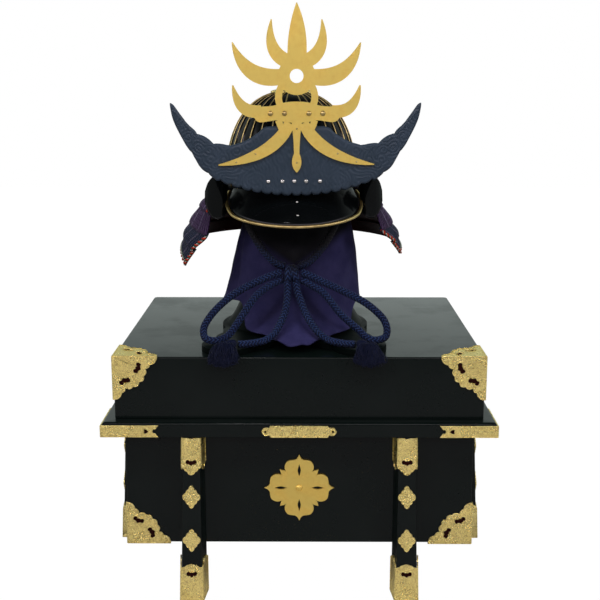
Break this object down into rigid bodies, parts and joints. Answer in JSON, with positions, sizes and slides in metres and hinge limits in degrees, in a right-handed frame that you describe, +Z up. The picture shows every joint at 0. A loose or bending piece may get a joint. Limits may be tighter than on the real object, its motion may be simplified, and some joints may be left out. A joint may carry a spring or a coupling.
{
  "type": "samurai helmet on a draped stand and legged chest",
  "caption": "Ribbed samurai helmet with a gilt crest on a cloud-shaped crescent, laced neck guard and tied cord, held by a draped stand on a black lacquered legged chest.",
  "frame": {"origin": "centre of the chest's footprint at the floor", "axes": "+Z up through the chest and helmet, -Y towards the visor and crest, +X to the viewer's right when the crest faces them"},
  "size_m": [0.6122, 0.4932, 0.8813],
  "materials": {
    "black_lacquered_wood": "deep gloss black lacquer",
    "black_lacquered_iron": "gloss black lacquer on iron plates",
    "gilt_brass": "polished and engraved gilding",
    "slate_blue_board": "carved board with satin slate-blue paint",
    "purple_cloth": "soft deep-purple cloth with a faint sheen",
    "purple_lacing": "flat braid laced side by side over lacquered lames",
    "navy_lacing": "flat braid laced side by side over lacquered lames",
    "navy_cord": "round braided cord with dense tassels"
  },
  "bodies": {
    "root": {"chest_body": "black_lacquered_wood", "chest_rim": "black_lacquered_wood", "chest_lid": "black_lacquered_wood", "leg_front_left": "black_lacquered_wood", "leg_front_right": "black_lacquered_wood", "leg_back_left": "black_lacquered_wood", "leg_back_right": "black_lacquered_wood", "leg_side_left": "black_lacquered_wood", "leg_side_right": "black_lacquered_wood", "leg_cap_front_left": "gilt_brass", "leg_cap_front_right": "gilt_brass", "leg_cap_back_left": "gilt_brass", "leg_cap_back_right": "gilt_brass", "leg_cap_side_left": "gilt_brass", "leg_cap_side_right": "gilt_brass", "leg_shoe_front_left": "gilt_brass", "leg_shoe_front_right": "gilt_brass", "leg_shoe_back_left": "gilt_brass", "leg_shoe_back_right": "gilt_brass", "leg_shoe_side_left": "gilt_brass", "leg_shoe_side_right": "gilt_brass", "lid_corner_front_left": "gilt_brass", "lid_corner_front_right": "gilt_brass", "body_corner_front_left": "gilt_brass", "body_corner_front_right": "gilt_brass", "body_corner_back_left": "gilt_brass", "body_corner_back_right": "gilt_brass", "rim_corner_front_left": "gilt_brass", "rim_corner_front_right": "gilt_brass", "rim_corner_back_left": "gilt_brass", "rim_corner_back_right": "gilt_brass", "rim_plate": "gilt_brass", "chest_emblem": "gilt_brass", "stand_base": "black_lacquered_wood", "stand_body": "black_lacquered_wood", "stand_post": "black_lacquered_wood", "cloth": "purple_cloth", "bowl": "black_lacquered_iron", "crown_ring": "gilt_brass", "visor": "black_lacquered_iron", "visor_rim": "gilt_brass", "neck_guard_1": "black_lacquered_iron", "neck_guard_2": "purple_lacing", "neck_guard_3": "purple_lacing", "neck_guard_4": "navy_lacing", "neck_guard_5": "navy_lacing", "crest_bracket": "gilt_brass", "crescent": "slate_blue_board", "crest": "gilt_brass", "neck_cord": "navy_cord", "bow_loop_left": "navy_cord", "bow_loop_right": "navy_cord", "cord_end_left": "navy_cord", "cord_end_right": "navy_cord", "knot": "navy_cord", "tassel_left": "navy_cord", "tassel_right": "navy_cord"}
  },
  "joints": []
}
